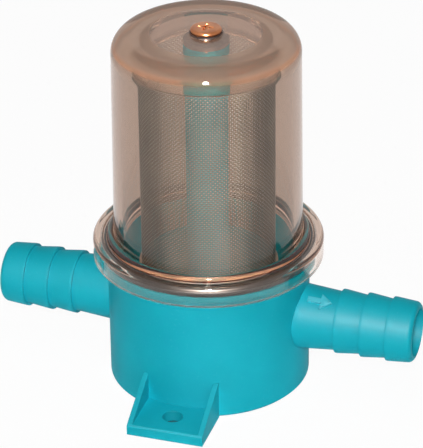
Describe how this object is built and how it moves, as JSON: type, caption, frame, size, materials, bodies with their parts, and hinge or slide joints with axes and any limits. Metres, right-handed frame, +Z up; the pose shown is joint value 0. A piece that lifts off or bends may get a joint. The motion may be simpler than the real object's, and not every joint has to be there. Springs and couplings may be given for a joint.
{
  "type": "inline water filter",
  "caption": "Inline water filter: clear screwed-down dome over a woven strainer in a moulded cup with barbed hose tails in line and gusseted screw-down feet.",
  "frame": {"origin": "centre of the underside of the cup and its feet", "axes": "+X along the hose tails towards the outlet, +Y towards the hidden foot, +Z up along the dome's axis"},
  "size_m": [0.139, 0.0956, 0.1219],
  "materials": {
    "turquoise_plastic": "moulded, satin gloss",
    "clear_plastic": "clear moulded plastic, polished",
    "black_rubber": "smooth",
    "grey_rubber": "smooth",
    "steel_mesh": "woven wire",
    "steel_ring": "rolled sheet",
    "insert_brass": "turned",
    "screw_bronze": "polished bronze"
  },
  "bodies": {
    "base": {"cup": "turquoise_plastic", "cup_floor": "turquoise_plastic", "strainer_well": "turquoise_plastic", "inlet_tail": "turquoise_plastic", "outlet_tail": "turquoise_plastic", "front_foot": "turquoise_plastic", "back_foot": "turquoise_plastic", "centre_post": "turquoise_plastic", "thread_insert": "insert_brass", "dome_seal": "black_rubber", "post_seal": "grey_rubber"},
    "dome": {"dome": "clear_plastic"},
    "strainer": {"strainer_mesh": "steel_mesh", "strainer_ring": "steel_ring"},
    "washer": {"screw_washer": "black_rubber"},
    "screw": {"cover_screw": "screw_bronze"}
  },
  "joints": [
    {"name": "dome_lift", "type": "slide", "parent": "base", "child": "dome", "axis": [0, 0, 1], "range_m": [0, 0.17]},
    {"name": "strainer_lift", "type": "slide", "parent": "base", "child": "strainer", "axis": [0, 0, 1], "range_m": [0, 0.085]},
    {"name": "washer_rise", "type": "slide", "parent": "dome", "child": "washer", "axis": [0, 0, 1], "range_m": [0, 0.0136]},
    {"name": "screw_turn", "type": "hinge", "parent": "washer", "child": "screw", "pos_m": [0, 0, 0.12], "axis": [0, 0, 1], "range_deg": [0, 6120.1]}
  ],
  "couplings": [
    {"joint": "strainer_lift", "follows": "dome_lift", "ratio": 0.5},
    {"joint": "screw_turn", "follows": "washer_rise", "rad_per_m": 7854}
  ]
}
